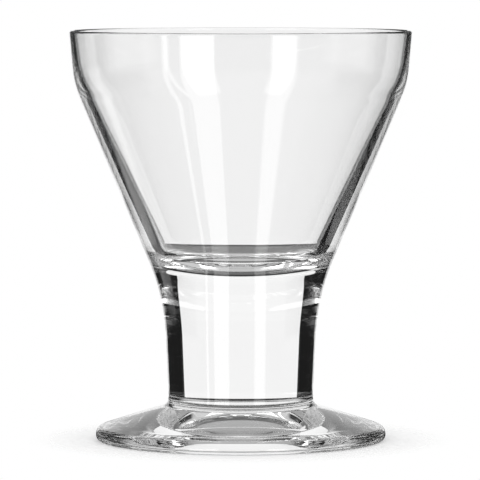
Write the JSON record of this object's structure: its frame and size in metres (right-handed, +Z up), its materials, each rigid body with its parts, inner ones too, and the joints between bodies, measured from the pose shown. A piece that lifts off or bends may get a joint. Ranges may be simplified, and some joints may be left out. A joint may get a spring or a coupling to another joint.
{
  "type": "dessert glass",
  "caption": "Clear footed dessert glass: flared conical bowl with an upright rim band on a thick solid stem and a round foot, for serving a cold dessert.",
  "frame": {"origin": "on the table, under the middle of the foot", "axes": "+Z up along the axis of the glass, towards the rim; the picture looks along +Y"},
  "size_m": [0.0896, 0.0896, 0.1075],
  "materials": {
    "clear_glass": "colourless soda-lime glass, fire-polished smooth"
  },
  "bodies": {
    "root": {"bowl": "clear_glass", "stem": "clear_glass", "foot": "clear_glass"}
  },
  "joints": []
}
